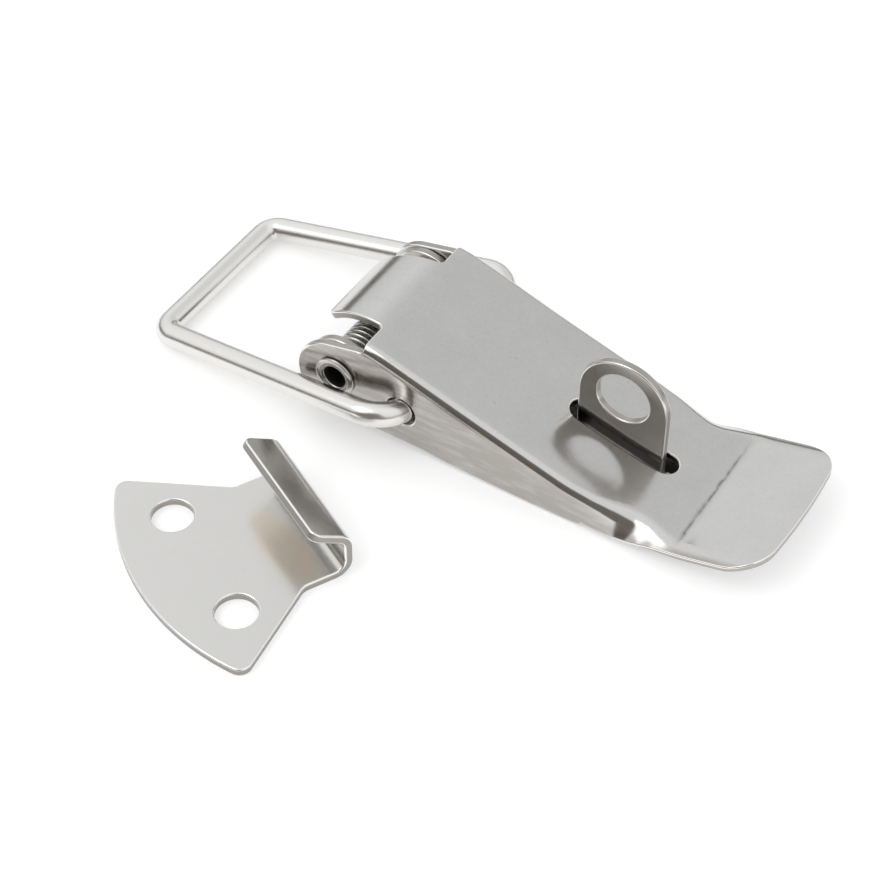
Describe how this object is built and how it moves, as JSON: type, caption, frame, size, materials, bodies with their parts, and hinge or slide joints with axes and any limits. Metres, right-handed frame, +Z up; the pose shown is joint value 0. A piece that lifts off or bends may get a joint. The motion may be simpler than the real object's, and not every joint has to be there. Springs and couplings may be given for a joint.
{
  "type": "over centre toggle latch",
  "caption": "Over-centre toggle latch in folded sheet: slotted lever with thumb tab, wire bail, riveted base plate with padlock eye, double torsion spring and a hooked catch plate.",
  "frame": {"origin": "on the underside of the base plate, straight below the middle of the rivet's axis", "axes": "+X along the lever from the rivet towards its thumb tab, +Y along the rivet, +Z up from the mounting surface; the bail points along -X and the catch plate lies on the -Y side"},
  "size_m": [0.0929, 0.0738, 0.0185],
  "materials": {
    "satin_sheet": "satin, fine bead-blasted grain",
    "polished_steel": "polished",
    "spring_steel": "drawn wire, semi-bright",
    "polished_wire": "tumbled, bright polished"
  },
  "bodies": {
    "base": {"base_plate": "satin_sheet", "pivot_rivet": "polished_steel", "torsion_spring": "spring_steel", "catch_plate": "satin_sheet"},
    "lever": {"lever": "satin_sheet"},
    "bail": {"bail": "polished_wire"}
  },
  "joints": [
    {"name": "lever_hinge", "type": "hinge", "parent": "base", "child": "lever", "pos_m": [0, 0, 0.0079], "axis": [0, -1, 0], "range_deg": [0, 120]},
    {"name": "bail_hinge", "type": "hinge", "parent": "lever", "child": "bail", "pos_m": [0.01, 0, 0.0064], "axis": [0, 1, 0], "range_deg": [0, 180]}
  ]
}
